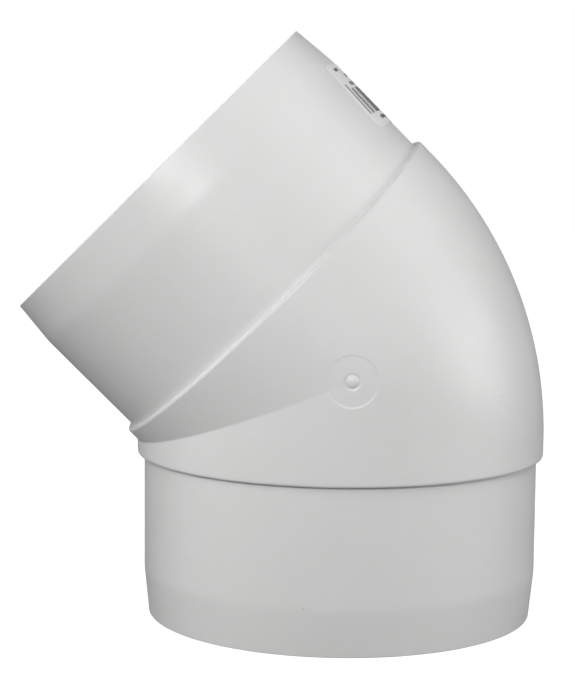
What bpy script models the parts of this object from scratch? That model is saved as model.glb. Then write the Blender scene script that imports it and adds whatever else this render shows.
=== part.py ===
"""A 45 degree elbow for round duct or large conduit, nominal size 125.

One hollow moulding with a tapered push-in spigot at each end and a thicker bend between them, whose
two shoulders stop the tubes. A paper label is stuck to the upper spigot. Metres, +Z up. The lower
spigot stands on the ground plane, and the world origin is the middle of the whole part's base.
"""

from math import cos, pi, radians, sin, tan

import bmesh
import bpy
from mathutils import Matrix, Vector

# Driving dimensions
BEND_ANGLE = radians(45)
COLLAR_RADIUS = 0.0625  # flush with the outside of a 125 mm tube
SPIGOT_RADIUS = 0.0604  # slides into the same tube, whose bore is 121 mm
TIP_RADIUS = 0.059  # lead-in end of the spigot
SPIGOT_LENGTH = 0.0497  # shoulder to mouth
LEAD_IN_LENGTH = 0.0138
SHOULDER_REACH = 0.0301  # crossing of the two axes to each shoulder
SHOULDER_EDGE = 0.0009  # rounding of the shoulder's outer edge
BEND_RADIUS = 0.0594  # of the centre line, on the outer side of the bend
MOUTH_WALL = 0.0014
BORE_DRAFT = 0.0003  # how much narrower the bore is at the mitre than at the mouth

GATE_DISH_RADIUS = 0.0033
GATE_DISH_FLOOR_RADIUS = 0.0028
GATE_DISH_DEPTH = 0.0006
GATE_STUB_RADIUS = 0.0019
GATE_STUB_DRAFT = 0.0003  # how much wider the stub is at its root
GATE_STUB_BELOW = 0.00015  # the stub stays just below the wall's surface

LABEL_WIDTH = 0.045  # round the spigot
LABEL_HEIGHT = 0.0243  # along the spigot
LABEL_CORNER = 0.002
LABEL_THICKNESS = 0.00012
LABEL_GAP = 0.00005
LABEL_TO_SHOULDER = 0.0219  # from the label's middle
LABEL_TILT = radians(6.5)  # it is stuck on a little askew

AROUND = 72  # facets round the part
ALONG_BEND = 8  # rings from a shoulder to the mitre plane
EDGE_STEPS = 3
DISH_SEGMENTS = 32
LABEL_COLUMNS = 24

MITRE_SLOPE = tan(BEND_ANGLE / 2)
MOUTH_REACH = SHOULDER_REACH + SPIGOT_LENGTH
MOUTH_BORE_RADIUS = TIP_RADIUS - MOUTH_WALL
MITRE_BORE_RADIUS = MOUTH_BORE_RADIUS - BORE_DRAFT

# The crossing of the axes, placed so that the part's box is centred on the origin.
LOW_X = -sin(BEND_ANGLE) * MOUTH_REACH - cos(BEND_ANGLE) * TIP_RADIUS
CROSSING = Vector((-(LOW_X + COLLAR_RADIUS) / 2, 0, MOUTH_REACH))


def clear_scene():
    for obj in list(bpy.data.objects):
        bpy.data.objects.remove(obj, do_unlink=True)


def plastic(name, colour, roughness):
    material = bpy.data.materials.new(name)
    material.use_nodes = True
    shader = material.node_tree.nodes["Principled BSDF"]
    shader.inputs["Base Color"].default_value = (*colour, 1)
    shader.inputs["Roughness"].default_value = roughness
    shader.inputs["Metallic"].default_value = 0
    return material


def add_object(name, mesh, collection, parent, material=None):
    obj = bpy.data.objects.new(name, mesh)
    obj.parent = parent
    collection.objects.link(obj)
    if material:
        mesh.materials.append(material)
    return obj


def add_empty(name, collection, parent=None):
    empty = bpy.data.objects.new(name, None)
    empty.parent = parent
    collection.objects.link(empty)
    return empty


def flat_ring(radius, reach):
    """A circle round the lower arm's axis, that far below the crossing of the axes."""
    turns = (2 * pi * k / AROUND for k in range(AROUND))
    return [Vector((radius * cos(t), -radius * sin(t), -reach)) for t in turns]


def bend_ring(radius, reach, share):
    """The ring at this share of the way from the flat one at that reach to the mitre plane.

    The inner half runs straight up to the mitre. The outer half turns on arcs that shrink to nothing
    at the sides, so that both halves meet smoothly there.
    """
    ring = []
    for k in range(AROUND):
        turn = 2 * pi * k / AROUND
        out = cos(turn)
        if out <= 0:
            x, z = radius * out, -reach + share * (radius * out * MITRE_SLOPE + reach)
        else:
            arc_radius = (BEND_RADIUS + radius) * out
            straight = reach - BEND_RADIUS * out * MITRE_SLOPE
            travel = share * (straight + arc_radius * BEND_ANGLE / 2)
            swing = max(0, travel - straight) / arc_radius
            x = arc_radius * cos(swing) - BEND_RADIUS * out
            z = arc_radius * sin(swing) - reach + min(travel, straight)
        ring.append(Vector((x, -radius * sin(turn), z)))
    return ring


def wall_rings():
    """Every ring of the lower arm's wall, from the bore at the mitre to the outside at the mitre."""
    shares = [k / ALONG_BEND for k in range(ALONG_BEND + 1)]
    bore = [bend_ring(MITRE_BORE_RADIUS, SHOULDER_REACH, share) for share in reversed(shares)]
    spigot = [
        flat_ring(MOUTH_BORE_RADIUS, MOUTH_REACH),
        flat_ring(TIP_RADIUS, MOUTH_REACH),
        flat_ring(SPIGOT_RADIUS, MOUTH_REACH - LEAD_IN_LENGTH),
        flat_ring(SPIGOT_RADIUS, SHOULDER_REACH),
    ]
    edge = []
    for k in range(EDGE_STEPS):
        turn = pi / 2 * k / EDGE_STEPS
        edge_radius = COLLAR_RADIUS - SHOULDER_EDGE * (1 - sin(turn))
        edge.append(flat_ring(edge_radius, SHOULDER_REACH - SHOULDER_EDGE * (1 - cos(turn))))
    edge_top = SHOULDER_REACH - SHOULDER_EDGE
    outside = [bend_ring(COLLAR_RADIUS, edge_top, share) for share in shares]
    return bore + spigot + edge + outside


def skin(rings):
    """Lofts the rings into one open tube wall by extruding the first ring along them."""
    bm = bmesh.new()
    verts = [bm.verts.new(point) for point in rings[0]]
    edges = [bm.edges.new((verts[k - 1], verts[k])) for k in range(AROUND)]
    for ring in rings[1:]:
        made = bmesh.ops.extrude_edge_only(bm, edges=edges)["geom"]
        edges = [part for part in made if isinstance(part, bmesh.types.BMEdge)]
        follows = {}
        for vert in verts:
            for edge in vert.link_edges:
                other = edge.other_vert(vert)
                if other in made:
                    follows[vert] = other
        verts = [follows[vert] for vert in verts]
        for vert, point in zip(verts, ring, strict=True):
            vert.co = point
    bmesh.ops.recalc_face_normals(bm, faces=bm.faces)
    mesh = bpy.data.meshes.new("elbow_wall")
    bm.to_mesh(mesh)
    bm.free()
    mesh.shade_smooth()
    mesh.set_sharp_from_angle(angle=radians(30))
    return mesh


def add_gate_cutter(collection, frame):
    """What the near side wall lacks round the stub that the injection gate leaves: a ring-shaped dish."""
    above = 0.001
    profile = [
        (0, above),
        (GATE_DISH_RADIUS, above),
        (GATE_DISH_RADIUS, GATE_STUB_BELOW),
        (GATE_DISH_FLOOR_RADIUS, -GATE_DISH_DEPTH),
        (GATE_STUB_RADIUS + GATE_STUB_DRAFT, -GATE_DISH_DEPTH),
        (GATE_STUB_RADIUS, -GATE_STUB_BELOW),
        (0, -GATE_STUB_BELOW),
    ]
    mesh = bpy.data.meshes.new("gate_dish_cutter")
    corners = [(radius, 0, height) for radius, height in profile]
    mesh.from_pydata(corners, [(k, k + 1) for k in range(len(corners) - 1)], [])
    cutter = add_object("gate_dish_cutter", mesh, collection, frame)
    cutter.location = (0, -COLLAR_RADIUS, 0)
    cutter.rotation_euler = (pi / 2, 0, 0)
    cutter.hide_render = True
    cutter.display_type = "WIRE"
    screw = cutter.modifiers.new("Turn", "SCREW")
    screw.steps = screw.render_steps = DISH_SEGMENTS
    screw.use_merge_vertices = True
    screw.merge_threshold = 1e-6
    return cutter


def add_body(collection, cutters, frame):
    """The moulding: one arm, mirrored in the mitre plane, with the gate dish cut in its side."""
    pvc = plastic("white_pvc", (0.78, 0.78, 0.77), 0.38)
    body = add_object("elbow_body", skin(wall_rings()), collection, frame, pvc)
    mitre = add_empty("mitre_plane", collection, frame)
    mitre.rotation_euler = (0, -BEND_ANGLE / 2, 0)
    mirror = body.modifiers.new("Second arm", "MIRROR")
    mirror.use_axis = (False, False, True)
    mirror.mirror_object = mitre
    mirror.merge_threshold = 1e-5
    dish = body.modifiers.new("Gate dish", "BOOLEAN")
    dish.operation = "DIFFERENCE"
    dish.solver = "EXACT"
    dish.object = add_gate_cutter(cutters, frame)
    return body


def label_half_height(across):
    """Half the label's height at this distance from its middle, where its corners are rounded."""
    into_corner = abs(across) - (LABEL_WIDTH / 2 - LABEL_CORNER)
    if into_corner <= 0:
        return LABEL_HEIGHT / 2
    drop = LABEL_CORNER**2 - min(into_corner, LABEL_CORNER) ** 2
    return LABEL_HEIGHT / 2 - LABEL_CORNER + drop**0.5


def add_label(collection, frame):
    """The label, a thin sheet rolled round the outer side of the upper spigot."""
    bm = bmesh.new()
    bmesh.ops.create_grid(bm, x_segments=LABEL_COLUMNS, y_segments=1, size=1)
    radius = SPIGOT_RADIUS + LABEL_GAP
    for vert in bm.verts:
        across = sin(vert.co.x * pi / 2) * LABEL_WIDTH / 2
        along = vert.co.y * label_half_height(across)
        turn = (across * cos(LABEL_TILT) - along * sin(LABEL_TILT)) / radius
        rise = across * sin(LABEL_TILT) + along * cos(LABEL_TILT)
        vert.co = (radius * cos(turn), -radius * sin(turn), rise)
    bmesh.ops.recalc_face_normals(bm, faces=bm.faces)
    mesh = bpy.data.meshes.new("barcode_label")
    bm.to_mesh(mesh)
    bm.free()
    outward = sum(face.normal.x for face in mesh.polygons) > 0
    paper = plastic("label_paper", (0.86, 0.86, 0.85), 0.55)
    label = add_object("barcode_label", mesh, collection, frame, paper)
    turn_up = Matrix.Rotation(-BEND_ANGLE, 4, "Y")
    middle = Matrix.Translation((0, 0, SHOULDER_REACH + LABEL_TO_SHOULDER))
    label.matrix_local = turn_up @ middle
    sheet = label.modifiers.new("Thickness", "SOLIDIFY")
    sheet.thickness = LABEL_THICKNESS
    sheet.offset = 1 if outward else -1
    return label


def main():
    clear_scene()
    scene = bpy.context.scene
    part = bpy.data.collections.new("duct_elbow")
    cutters = bpy.data.collections.new("cutters")
    for collection in (part, cutters):
        scene.collection.children.link(collection)
    frame = add_empty("axis_crossing", part)
    frame.location = CROSSING
    add_body(part, cutters, frame)
    add_label(part, frame)


main()
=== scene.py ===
"""The looks of the 45 degree duct elbow: the moulding's finished skin, its printed label and the studio.

Lengths are in metres. The moulding is worked out round the point where the axes of its two arms
cross. The lower arm runs down from there. The upper arm is its mirror image in the mitre plane, which
holds the Y axis.
"""

from math import atan2, cos, hypot, pi, radians, sin, sqrt, tan

import bmesh
import bpy
import numpy as np
from mathutils import Matrix, Vector


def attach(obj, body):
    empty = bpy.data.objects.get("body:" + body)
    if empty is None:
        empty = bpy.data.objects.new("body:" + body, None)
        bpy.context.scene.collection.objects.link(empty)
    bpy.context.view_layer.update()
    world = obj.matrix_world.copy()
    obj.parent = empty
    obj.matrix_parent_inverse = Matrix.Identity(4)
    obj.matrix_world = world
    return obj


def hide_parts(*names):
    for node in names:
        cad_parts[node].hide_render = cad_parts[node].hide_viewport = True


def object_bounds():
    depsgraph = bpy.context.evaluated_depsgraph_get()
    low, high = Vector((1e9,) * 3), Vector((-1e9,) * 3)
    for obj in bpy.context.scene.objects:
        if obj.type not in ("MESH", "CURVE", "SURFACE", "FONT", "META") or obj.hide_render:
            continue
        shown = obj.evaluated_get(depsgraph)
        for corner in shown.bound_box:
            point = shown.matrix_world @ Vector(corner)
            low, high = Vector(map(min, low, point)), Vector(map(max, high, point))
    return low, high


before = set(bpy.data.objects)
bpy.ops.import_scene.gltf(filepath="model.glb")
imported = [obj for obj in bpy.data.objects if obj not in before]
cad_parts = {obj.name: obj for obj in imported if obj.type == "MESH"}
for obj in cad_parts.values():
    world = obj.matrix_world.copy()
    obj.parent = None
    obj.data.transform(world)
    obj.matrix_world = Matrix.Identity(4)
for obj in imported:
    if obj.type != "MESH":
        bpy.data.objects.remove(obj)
cad_low, cad_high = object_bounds()

# The moulding, as in the CAD
BEND_ANGLE = radians(45)
COLLAR_RADIUS = (cad_high.y - cad_low.y) / 2
SPIGOT_RADIUS = 0.0604
TIP_RADIUS = 0.059
SPIGOT_LENGTH = 0.0497
LEAD_IN_LENGTH = 0.0138
SHOULDER_REACH = 0.0301
BEND_RADIUS = 0.0594
MOUTH_BORE_RADIUS = 0.0576
MITRE_BORE_RADIUS = 0.0573
MOUTH_REACH = SHOULDER_REACH + SPIGOT_LENGTH
MITRE = BEND_ANGLE / 2
MITRE_SLOPE = tan(MITRE)
CROSSING = Vector((cad_high.x - COLLAR_RADIUS, 0, cad_low.z + MOUTH_REACH))

# Roundings. The CAD has only the shoulder's, in three steps.
SHOULDER_EDGE = 0.0009
RIM_EDGE = 0.0003
ROOT_FILLET = 0.0002
LEAD_IN_BLEND = 0.001
CREASE_RADIUS = 0.0008
CORNER_STEPS = 4
SUPPORT = 1.5  # how far from the corner a rounding is held by one more ring, in roundings

# The gate mark: grid lines this far apart run round it as circles
GATE_STEP = 0.00025
GATE_CIRCLES = 32
GATE_GRID = 38
# (distance from the gate's centre, height over the wall's surface)
GATE_PROFILE = (
    (0, 0.00028),
    (0.0009, 0.0002),
    (0.0015, 0),
    (0.0018, -0.00032),
    (0.002, -0.00036),
    (0.0025, -0.00016),
    (0.0036, -0.00012),
    (0.0072, -0.00013),
    (0.00755, 0),
)

COLUMNS = 270  # round the part, apart from the fine ones at the gate
COLLAR_ROWS = 14
BORE_ROWS = 20
WALL_ROWS = 6


def column_turns():
    """The angle of each grid column from the outer meridian, fine on the gate's side of the part."""
    reach = GATE_GRID * GATE_STEP / COLLAR_RADIUS
    fine = np.arccos(np.linspace(reach, -reach, 2 * GATE_GRID + 1))
    rest = np.linspace(fine[-1], fine[0] + 2 * pi, COLUMNS + 1)
    return np.concatenate([fine, rest[1:-1]])


TURNS = column_turns()
OUT = np.cos(TURNS)
SIDE = -np.sin(TURNS)
SIDE_COLUMN = GATE_GRID  # the column through the gate's centre


def flat_ring(radius, reach):
    """A circle round the lower arm's axis, that far below the crossing."""
    return np.stack([radius * OUT, radius * SIDE, np.full(len(OUT), -reach)], axis=1)


def bend_ring(radius, reach, share):
    """The ring at this share of the way from the flat one at that reach to the mitre plane.

    Every line along the part turns at the mitre, on a wide arc on the outer side of the bend and on
    a tight one in the crease of the inner side.
    """
    offset = radius * OUT
    arc_radius = np.maximum((BEND_RADIUS + radius) * OUT, CREASE_RADIUS)
    arc_start = (offset - arc_radius) * MITRE_SLOPE
    straight = reach + arc_start
    travel = share * (straight + arc_radius * MITRE)
    swing = np.maximum(0, travel - straight) / arc_radius
    x = offset - arc_radius * (1 - np.cos(swing))
    z = np.minimum(travel, straight) - reach + arc_radius * np.sin(swing)
    return np.stack([x, radius * SIDE, z], axis=1)


def rounded(corners):
    """(radius, reach) points along a profile whose corners are (radius, reach, rounding)."""
    points = [corners[0][:2]]
    for before, corner, after in zip(corners, corners[1:], corners[2:]):
        middle = Vector(corner[:2])
        start = middle + (Vector(before[:2]) - middle).normalized() * corner[2]
        end = middle + (Vector(after[:2]) - middle).normalized() * corner[2]
        points.append(middle.lerp(start, SUPPORT))
        for k in range(CORNER_STEPS + 1):
            share = k / CORNER_STEPS
            points.append(start.lerp(middle, share).lerp(middle.lerp(end, share), share))
        points.append(middle.lerp(end, SUPPORT))
    points.append(corners[-1][:2])
    return [tuple(point) for point in points]


def even(start, end, count):
    """Shares from start to end, without the last."""
    return [start + (end - start) * k / count for k in range(count)]


def arm_rings():
    """The lower arm's rings, from the bore at the mitre round the mouth to the outside at the mitre."""
    bore = [bend_ring(MITRE_BORE_RADIUS, SHOULDER_REACH, share) for share in even(1, 0, BORE_ROWS)]
    edge_top = SHOULDER_REACH - 3 * SHOULDER_EDGE
    profile = rounded(
        [
            (MITRE_BORE_RADIUS, SHOULDER_REACH, 0),
            (MOUTH_BORE_RADIUS, MOUTH_REACH, RIM_EDGE),
            (TIP_RADIUS, MOUTH_REACH, RIM_EDGE),
            (SPIGOT_RADIUS, MOUTH_REACH - LEAD_IN_LENGTH, LEAD_IN_BLEND),
            (SPIGOT_RADIUS, SHOULDER_REACH, ROOT_FILLET),
            (COLLAR_RADIUS, SHOULDER_REACH, SHOULDER_EDGE),
            (COLLAR_RADIUS, edge_top, 0),
        ]
    )
    fine_share = 1 - GATE_GRID * GATE_STEP / edge_top
    shares = even(0, fine_share, COLLAR_ROWS) + even(fine_share, 1, GATE_GRID) + [1]
    collar = [bend_ring(COLLAR_RADIUS, edge_top, share) for share in shares[1:]]
    return bore + [flat_ring(*point) for point in profile] + collar


def mirrored(points):
    """The points' mirror image in the mitre plane."""
    normal = np.array([-sin(MITRE), 0, cos(MITRE)])
    return points - 2 * np.outer(points @ normal, normal)


def side_height(x, z):
    """How far the collar's surface stands from the bend plane, next to the gate."""
    if z > x * MITRE_SLOPE:
        x, z = x * cos(BEND_ANGLE) + z * sin(BEND_ANGLE), x * sin(BEND_ANGLE) - z * cos(BEND_ANGLE)
    out = x / COLLAR_RADIUS
    if x > 0 and z > -BEND_RADIUS * out * MITRE_SLOPE:
        # (x + BEND_RADIUS out)^2 + (z + BEND_RADIUS slope out)^2 = ((BEND_RADIUS + radius) out)^2
        a = (BEND_RADIUS + COLLAR_RADIUS) ** 2 - (BEND_RADIUS / cos(MITRE)) ** 2
        b = BEND_RADIUS * (x + MITRE_SLOPE * z)
        out = (b + sqrt(b * b + a * (x * x + z * z))) / a
    return COLLAR_RADIUS * sqrt(1 - out * out)


def press_gate(rings, mitre_row):
    """Draws the fine grid into circles round the gate, and sets each at its height in the profile."""
    away, height = zip(*GATE_PROFILE)
    for row in range(-GATE_GRID, GATE_GRID + 1):
        for column in range(-GATE_GRID, GATE_GRID + 1):
            point = rings[mitre_row + row][SIDE_COLUMN + column]
            circle = max(abs(row), abs(column))
            loose = max(0, circle - GATE_CIRCLES) / (GATE_GRID - GATE_CIRCLES)
            turn = atan2(point[2], point[0])
            radius = circle * GATE_STEP * (1 - loose) + hypot(point[0], point[2]) * loose
            x, z = radius * cos(turn), radius * sin(turn)
            point[:] = x, -side_height(x, z) - np.interp(radius, away, height), z


def closed_mesh(name, points, faces):
    """A smooth mesh whose faces point out."""
    mesh = bpy.data.meshes.new(name)
    mesh.from_pydata(points, [], faces)
    bm = bmesh.new()
    bm.from_mesh(mesh)
    bmesh.ops.recalc_face_normals(bm, faces=bm.faces)
    bm.to_mesh(mesh)
    bm.free()
    mesh.shade_smooth()
    return mesh


def add_piece(name, mesh, node, materials):
    """A new piece that stands for a CAD node and takes the finish of its slot."""
    piece = bpy.data.objects.new(name, mesh)
    bpy.context.scene.collection.objects.link(piece)
    for material in materials:
        mesh.materials.append(material)
    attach(piece, "root")
    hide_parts(node)


def moulding_mesh():
    """The whole moulding as one closed surface, lofted through its rings."""
    arm = arm_rings()
    rings = arm + [mirrored(ring) for ring in reversed(arm[1:-1])]
    press_gate(rings, len(arm) - 1)
    around = len(TURNS)
    index = np.arange(len(rings) * around).reshape(len(rings), around)
    beside, beyond = np.roll(index, -1, axis=1), np.roll(index, -1, axis=0)
    across = np.roll(beyond, -1, axis=1)
    faces = np.stack([index, beyond, across, beside], axis=-1).reshape(-1, 4)
    return closed_mesh("moulding", np.concatenate(rings) + np.array(CROSSING), faces)


# The label, as in the CAD: a sheet stuck a little askew across the outer side of the upper spigot
LABEL_WIDTH = 0.045
LABEL_HEIGHT = 0.0243
LABEL_CORNER = 0.002
LABEL_THICKNESS = 0.00012
LABEL_GAP = 0.00005
LABEL_TILT = radians(6.5)
LABEL_REACH = SHOULDER_REACH + 0.0219  # of its middle

LABEL_EDGE = 0.0005  # the width of the pressed-down border
PRESSED = 0.35  # the border's share of the thickness
LABEL_CELL = 0.001  # the most between two grid lines
PRINT_STEP = 0.00001  # grid lines lie on multiples of this
LABEL_SHARP = radians(40)

# The print: plain bars and dashes that spell nothing
BAR_MODULE = 0.00025
BARS = (-0.0073, 0.0025)  # bottom and top, from the label's middle
GUARD_BARS = (-0.0071, 0.0044)
GUARD_AT = 0.0198
GUARD_HALF = 0.0004  # half the width of a guard bar
HATCH = (0.015, 0.0179)
HATCH_PITCH = 0.0005
HATCH_BAR = 0.0003
INNER_BARS_TO = 0.0132
# (bottom, top, first left edge, last right edge, dash, gap)
DASHES = (
    (0.0034, 0.0048, -0.0142, 0.0144, 0.0011, 0.0006),
    (0.0066, 0.0079, -0.0128, 0.0122, 0.0026, 0.0008),
    (0.0092, 0.0104, 0.0134, 0.0184, 0.0018, 0.0005),
    (-0.0100, -0.0087, -0.0133, 0.0136, 0.0021, 0.0007),
)


def print_boxes():
    """(left, right, bottom, top) of every printed bar and dash."""
    boxes = []
    for side in (-1, 1):
        boxes.append((side * GUARD_AT - GUARD_HALF, side * GUARD_AT + GUARD_HALF, *GUARD_BARS))
        for left in np.arange(*HATCH, HATCH_PITCH):
            boxes.append((*sorted((side * left, side * (left + HATCH_BAR))), *BARS))
    left, k = -INNER_BARS_TO, 0
    while left < INNER_BARS_TO:
        width = BAR_MODULE * (3 + k * k % 4)
        boxes.append((left, left + width, *BARS))
        left += width + BAR_MODULE * (1 + k % 3 // 2)
        k += 1
    for bottom, top, first, last, dash, gap in DASHES:
        for left in np.arange(first, last - dash / 2, dash + gap):
            boxes.append((left, min(left + dash, last), bottom, top))
    return boxes


def grid_lines(half, wanted):
    """Places from -half to half: the wanted ones, and more between them where they are far apart."""
    ends = [-half, -half + LABEL_EDGE, half - LABEL_EDGE, half]
    steps = sorted({round(place / PRINT_STEP) for place in [*ends, *wanted]})
    places = [steps[0] * PRINT_STEP]
    for before, after in zip(steps, steps[1:]):
        count = max(1, round((after - before) * PRINT_STEP / LABEL_CELL))
        places += [(before + (after - before) * (k + 1) / count) * PRINT_STEP for k in range(count)]
    return places


def label_half_height(across):
    """Half the label's height at this distance from its middle, where its corners are rounded."""
    into_corner = abs(across) - (LABEL_WIDTH / 2 - LABEL_CORNER)
    if into_corner <= 0:
        return LABEL_HEIGHT / 2
    drop = LABEL_CORNER**2 - min(into_corner, LABEL_CORNER) ** 2
    return LABEL_HEIGHT / 2 - LABEL_CORNER + sqrt(max(drop, 0))


def distance_to_edge(across, along):
    x = abs(across) - LABEL_WIDTH / 2 + LABEL_CORNER
    y = abs(along) - LABEL_HEIGHT / 2 + LABEL_CORNER
    if x > 0 and y > 0:
        return LABEL_CORNER - hypot(x, y)
    return LABEL_CORNER - max(x, y)


def label_sides(across, share):
    """The points of the label's back and face at this distance across it and share of its half height."""
    along = share * label_half_height(across)
    pressed = min(1, max(0, distance_to_edge(across, along)) / LABEL_EDGE)
    thickness = LABEL_THICKNESS * (PRESSED + (1 - PRESSED) * pressed)
    turn = (across * cos(LABEL_TILT) - along * sin(LABEL_TILT)) / SPIGOT_RADIUS
    reach = LABEL_REACH + across * sin(LABEL_TILT) + along * cos(LABEL_TILT)
    points = []
    for height in (LABEL_GAP, LABEL_GAP + thickness):
        radius = SPIGOT_RADIUS + height
        points.append((radius * cos(turn), -radius * sin(turn), -reach))
    return points


def label_mesh():
    """The sheet, with its grid lines along the edges of the print, whose faces take the second material."""
    boxes = print_boxes()
    corner = LABEL_WIDTH / 2 - LABEL_CORNER
    bends = [corner + LABEL_CORNER * sin(pi / 2 * k / CORNER_STEPS) for k in range(CORNER_STEPS)]
    across_wanted = [edge for box in boxes for edge in box[:2]] + bends + [-bend for bend in bends]
    columns = grid_lines(LABEL_WIDTH / 2, across_wanted)
    rows = grid_lines(LABEL_HEIGHT / 2, [edge for box in boxes for edge in box[2:]])
    sides = np.array([[label_sides(x, y / (LABEL_HEIGHT / 2)) for x in columns] for y in rows])
    count = len(rows) * len(columns)
    index = np.arange(count).reshape(len(rows), len(columns))
    back = np.stack([index[:-1, :-1], index[:-1, 1:], index[1:, 1:], index[1:, :-1]], -1).reshape(-1, 4)
    border = np.concatenate([index[0], index[1:, -1], index[-1, -2::-1], index[-2:0:-1, 0]])
    following = np.roll(border, -1)
    rim = np.stack([border, following, following + count, border + count], -1)
    faces = np.concatenate([back, back[:, ::-1] + count, rim])
    points = mirrored(np.concatenate([sides[:, :, 0].reshape(-1, 3), sides[:, :, 1].reshape(-1, 3)]))
    mesh = closed_mesh("label_sheet", points + np.array(CROSSING), faces)
    mesh.set_sharp_from_angle(angle=LABEL_SHARP)
    middles = [
        ((left + right) / 2, (low + high) / 2)
        for low, high in zip(rows, rows[1:])
        for left, right in zip(columns, columns[1:])
    ]
    for face, (x, y) in zip(mesh.polygons[len(back) :], middles):
        face.material_index = any(box[0] < x < box[1] and box[2] < y < box[3] for box in boxes)
    return mesh


# Scales of the surface detail, in cells a metre
MOTTLE_SCALE = 330
GRAIN_SCALE = 2600
CLOUD_SCALE = 22
SCUFF_SCALE = 90
SPECK_SCALE = 210
FIBRE_SCALE = 900

# The finishes. Most of a noise texture's values lie in this range.
NOISE_RANGE = (0.3, 0.7)
PVC_DULL = (0.771, 0.771, 0.763)
PVC_PALE = (0.791, 0.791, 0.786)
PVC_ROUGHNESS = (0.36, 0.45)
PVC_IOR = 1.53
SPECK_COLOUR = (0.16, 0.15, 0.14)
SPECK_EDGE = (0.03, 0.06)  # a speck's inner and outer radius, in cells
MOTTLE_DEPTH = 0.00002
GRAIN_DEPTH = 0.0000008
PAPER_DULL = (0.83, 0.83, 0.82)
PAPER_PALE = (0.88, 0.88, 0.875)
PAPER_ROUGHNESS = (0.42, 0.55)
FIBRE_DEPTH = 0.000004
INK_DARK = (0.018, 0.018, 0.02)
INK_WORN = (0.05, 0.05, 0.052)
INK_ROUGHNESS = (0.5, 0.62)
INK_SHINE = 0.15


def new_material(name):
    """(material, its node tree, its shader, the place on the object as a vector)"""
    material = bpy.data.materials.new(name)
    material.use_nodes = True
    tree = material.node_tree
    place = tree.nodes.new("ShaderNodeTexCoord").outputs["Object"]
    return material, tree, tree.nodes["Principled BSDF"], place


def add_node(tree, kind, inputs, **settings):
    """A node whose inputs are numbers or other nodes' outputs."""
    node = tree.nodes.new(kind)
    for name, value in settings.items():
        setattr(node, name, value)
    for name, value in inputs.items():
        if isinstance(value, bpy.types.NodeSocket):
            tree.links.new(value, node.inputs[name])
        else:
            node.inputs[name].default_value = value
    return node


def noise(tree, place, scale, detail=2):
    """Cloudy noise, most of it between 0.3 and 0.7."""
    inputs = {"Vector": place, "Scale": scale, "Detail": detail}
    return add_node(tree, "ShaderNodeTexNoise", inputs).outputs["Fac"]


def carry(tree, value, given, wanted):
    """The value's range given carried to the range wanted, and held there."""
    inputs = {"Value": value, "From Min": given[0], "From Max": given[1]}
    inputs |= {"To Min": wanted[0], "To Max": wanted[1]}
    return add_node(tree, "ShaderNodeMapRange", inputs).outputs["Result"]


def combine(tree, operation, first, second):
    """Two varying values added or multiplied."""
    node = add_node(tree, "ShaderNodeMath", {}, operation=operation)
    tree.links.new(first, node.inputs[0])
    tree.links.new(second, node.inputs[1])
    return node.outputs["Value"]


def shade(tree, share, first, second):
    """A colour that goes from the first to the second with the share."""
    ramp = add_node(tree, "ShaderNodeValToRGB", {"Fac": share})
    ramp.color_ramp.elements[0].color = (*first, 1)
    ramp.color_ramp.elements[1].color = (*second, 1)
    return ramp.outputs["Color"]


def bump(tree, height, depth, under=None):
    """A bump of this depth in metres, over another one's normal."""
    inputs = {"Height": height, "Distance": depth}
    if under:
        inputs["Normal"] = under
    return add_node(tree, "ShaderNodeBump", inputs).outputs["Normal"]


def white_plastic():
    """Satin moulded PVC: a little uneven in tone and gloss, faintly mottled, with a few dark specks."""
    material, tree, shader, place = new_material("moulded_pvc")
    clouds = noise(tree, place, CLOUD_SCALE)
    mottle = noise(tree, place, MOTTLE_SCALE, 3)
    scuffs = noise(tree, place, SCUFF_SCALE, 6)
    grain = noise(tree, place, GRAIN_SCALE)
    tone = combine(tree, "ADD", clouds, carry(tree, mottle, NOISE_RANGE, (-0.1, 0.1)))
    white = shade(tree, carry(tree, tone, NOISE_RANGE, (0, 1)), PVC_DULL, PVC_PALE)
    cells = add_node(tree, "ShaderNodeTexVoronoi", {"Vector": place, "Scale": SPECK_SCALE})
    rare = add_node(tree, "ShaderNodeSeparateColor", {"Color": cells.outputs["Color"]}).outputs["Red"]
    near = carry(tree, cells.outputs["Distance"], SPECK_EDGE, (1, 0))
    speck = combine(tree, "MULTIPLY", near, carry(tree, rare, (0.93, 0.94), (0, 0.5)))
    mixed = add_node(tree, "ShaderNodeMix", {"Factor": speck}, data_type="RGBA")
    tree.links.new(white, mixed.inputs["A"])
    mixed.inputs["B"].default_value = (*SPECK_COLOUR, 1)
    tree.links.new(mixed.outputs["Result"], shader.inputs["Base Color"])
    worn = carry(tree, scuffs, NOISE_RANGE, PVC_ROUGHNESS)
    gloss = combine(tree, "ADD", worn, carry(tree, mottle, NOISE_RANGE, (-0.02, 0.02)))
    tree.links.new(gloss, shader.inputs["Roughness"])
    uneven = combine(tree, "MULTIPLY", mottle, carry(tree, clouds, (0.45, 0.65), (0.15, 1)))
    mottled = bump(tree, uneven, MOTTLE_DEPTH)
    tree.links.new(bump(tree, grain, GRAIN_DEPTH, mottled), shader.inputs["Normal"])
    shader.inputs["IOR"].default_value = PVC_IOR
    return material


def label_paper():
    """Coated white label stock, with a trace of its fibres."""
    material, tree, shader, place = new_material("label_stock")
    fibres = noise(tree, place, FIBRE_SCALE, 6)
    paper = shade(tree, carry(tree, fibres, NOISE_RANGE, (0, 1)), PAPER_DULL, PAPER_PALE)
    tree.links.new(paper, shader.inputs["Base Color"])
    tree.links.new(carry(tree, fibres, NOISE_RANGE, PAPER_ROUGHNESS), shader.inputs["Roughness"])
    tree.links.new(bump(tree, fibres, FIBRE_DEPTH), shader.inputs["Normal"])
    return material


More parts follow.
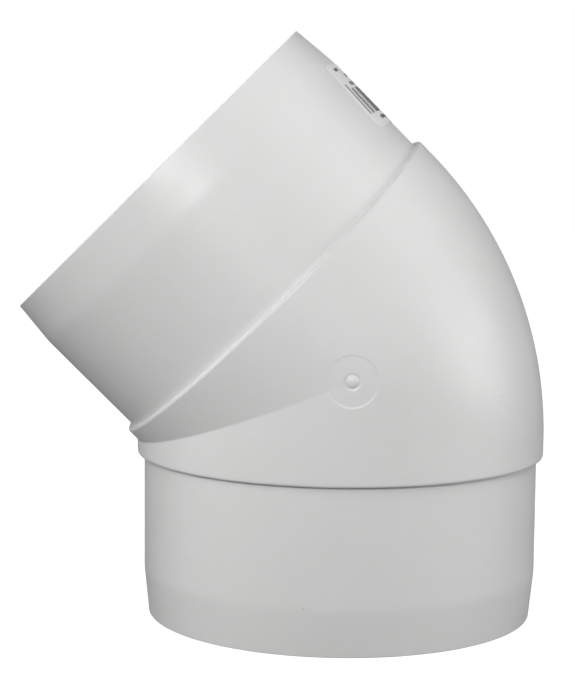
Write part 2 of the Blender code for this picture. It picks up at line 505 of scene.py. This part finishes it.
def label_ink():
    """Thermal print: a dull dark grey, a little patchy."""
    material, tree, shader, place = new_material("label_print")
    patches = noise(tree, place, FIBRE_SCALE, 5)
    ink = shade(tree, carry(tree, patches, (0.35, 0.7), (0, 1)), INK_DARK, INK_WORN)
    tree.links.new(ink, shader.inputs["Base Color"])
    tree.links.new(carry(tree, patches, NOISE_RANGE, INK_ROUGHNESS), shader.inputs["Roughness"])
    shader.inputs["Specular IOR Level"].default_value = INK_SHINE
    return material


# The studio
MIDDLE = (cad_low + cad_high) / 2
FLOOR_HALF = 4
FLOOR_DULL = (0.2, 0.2, 0.2)  # as the object sees it
FLOOR_PALE = (0.3, 0.3, 0.3)  # as the camera sees it, under its glow
WORLD_LIGHT = 0.02
LENS = 105.02  # mm
SENSOR = 36  # mm, along the picture's height
CAMERA_PLACE = Vector((-0.5243, -9.9749, 1.2661))  # from the axes' crossing, in collar radii
CAMERA_YAW = 0.0258
CAMERA_PITCH = 0.1245
CAMERA_ROLL = 0.0086
# (name, azimuth, elevation, distance, width, height, watts)
SOFTBOXES = (
    ("key_soft", -22, 33, 0.8, 0.6, 0.6, 2.15),
    ("key_small", -7, 18, 0.7, 0.11, 0.1, 1.65),
    ("right_low", 82, 5, 0.9, 0.6, 0.5, 3.8),
    ("right_high", 80, 45, 0.9, 0.6, 0.5, 1.33),
    ("left", -88, 10, 0.9, 0.5, 0.5, 2.6),
    ("back_left", -140, 50, 0.9, 0.5, 0.5, 0.8),
    ("back_right", 130, 62, 0.9, 0.5, 0.5, 0.7),
    ("back", 180, 62, 0.9, 0.5, 0.5, 0.7),
)


def add_floor():
    """A plain pale floor, which the camera sees almost white, and which throws little light back."""
    bm = bmesh.new()
    bmesh.ops.create_grid(bm, x_segments=8, y_segments=8, size=FLOOR_HALF)
    mesh = bpy.data.meshes.new("studio_floor")
    bm.to_mesh(mesh)
    bm.free()
    floor = bpy.data.objects.new("studio_floor", mesh)
    floor.location.z = cad_low.z
    bpy.context.scene.collection.objects.link(floor)
    material = bpy.data.materials.new("studio_floor")
    material.use_nodes = True
    tree = material.node_tree
    tree.nodes.clear()
    seen = add_node(tree, "ShaderNodeLightPath", {}).outputs["Is Camera Ray"]
    dull = add_node(tree, "ShaderNodeBsdfDiffuse", {"Color": (*FLOOR_DULL, 1)})
    pale = add_node(tree, "ShaderNodeBsdfDiffuse", {"Color": (*FLOOR_PALE, 1)})
    glow = add_node(tree, "ShaderNodeEmission", {"Color": (1, 1, 1, 1), "Strength": 1})
    both = add_node(tree, "ShaderNodeAddShader", {})
    tree.links.new(pale.outputs[0], both.inputs[0])
    tree.links.new(glow.outputs[0], both.inputs[1])
    mix = add_node(tree, "ShaderNodeMixShader", {"Fac": seen})
    tree.links.new(dull.outputs[0], mix.inputs[1])
    tree.links.new(both.outputs[0], mix.inputs[2])
    out = add_node(tree, "ShaderNodeOutputMaterial", {})
    tree.links.new(mix.outputs[0], out.inputs["Surface"])
    mesh.materials.append(material)


def add_world():
    """White where the camera sees it, and dim as a light, so that the softboxes shape the object."""
    world = bpy.data.worlds.new("studio_world")
    bpy.context.scene.world = world
    world.use_nodes = True
    tree = world.node_tree
    background = tree.nodes["Background"]
    background.inputs["Color"].default_value = (1, 1, 1, 1)
    seen = add_node(tree, "ShaderNodeLightPath", {}).outputs["Is Camera Ray"]
    tree.links.new(carry(tree, seen, (0, 1), (WORLD_LIGHT, 1)), background.inputs["Strength"])


def add_softbox(name, azimuth, elevation, distance, width, height, power):
    """A rectangular light that faces the object. Azimuth 0 is on the camera's side, and 90 is +X."""
    turn, rise = radians(azimuth), radians(elevation)
    towards = Vector((sin(turn) * cos(rise), -cos(turn) * cos(rise), sin(rise)))
    light = bpy.data.lights.new(name, "AREA")
    light.shape = "RECTANGLE"
    light.size = width
    light.size_y = height
    light.energy = power
    obj = bpy.data.objects.new(name, light)
    obj.location = MIDDLE + towards * distance
    obj.rotation_euler = towards.to_track_quat("Z", "Y").to_euler()
    bpy.context.scene.collection.objects.link(obj)


def add_camera():
    camera = bpy.data.cameras.new("photo_camera")
    camera.lens = LENS
    camera.sensor_width = SENSOR
    camera.clip_start = 0.01
    camera.clip_end = 20
    obj = bpy.data.objects.new("photo_camera", camera)
    level = Matrix.Rotation(-CAMERA_YAW, 4, "Z") @ Matrix.Rotation(pi / 2 - CAMERA_PITCH, 4, "X")
    turned = level @ Matrix.Rotation(CAMERA_ROLL, 4, "Z")
    obj.matrix_world = Matrix.Translation(CROSSING + COLLAR_RADIUS * CAMERA_PLACE) @ turned
    bpy.context.scene.collection.objects.link(obj)
    bpy.context.scene.camera = obj


def main():
    add_piece("elbow_moulding", moulding_mesh(), "elbow_body", [white_plastic()])
    add_piece("label_sheet", label_mesh(), "barcode_label", [label_paper(), label_ink()])
    add_floor()
    add_world()
    for softbox in SOFTBOXES:
        add_softbox(*softbox)
    add_camera()
    bpy.context.scene.view_settings.view_transform = "Standard"


main()
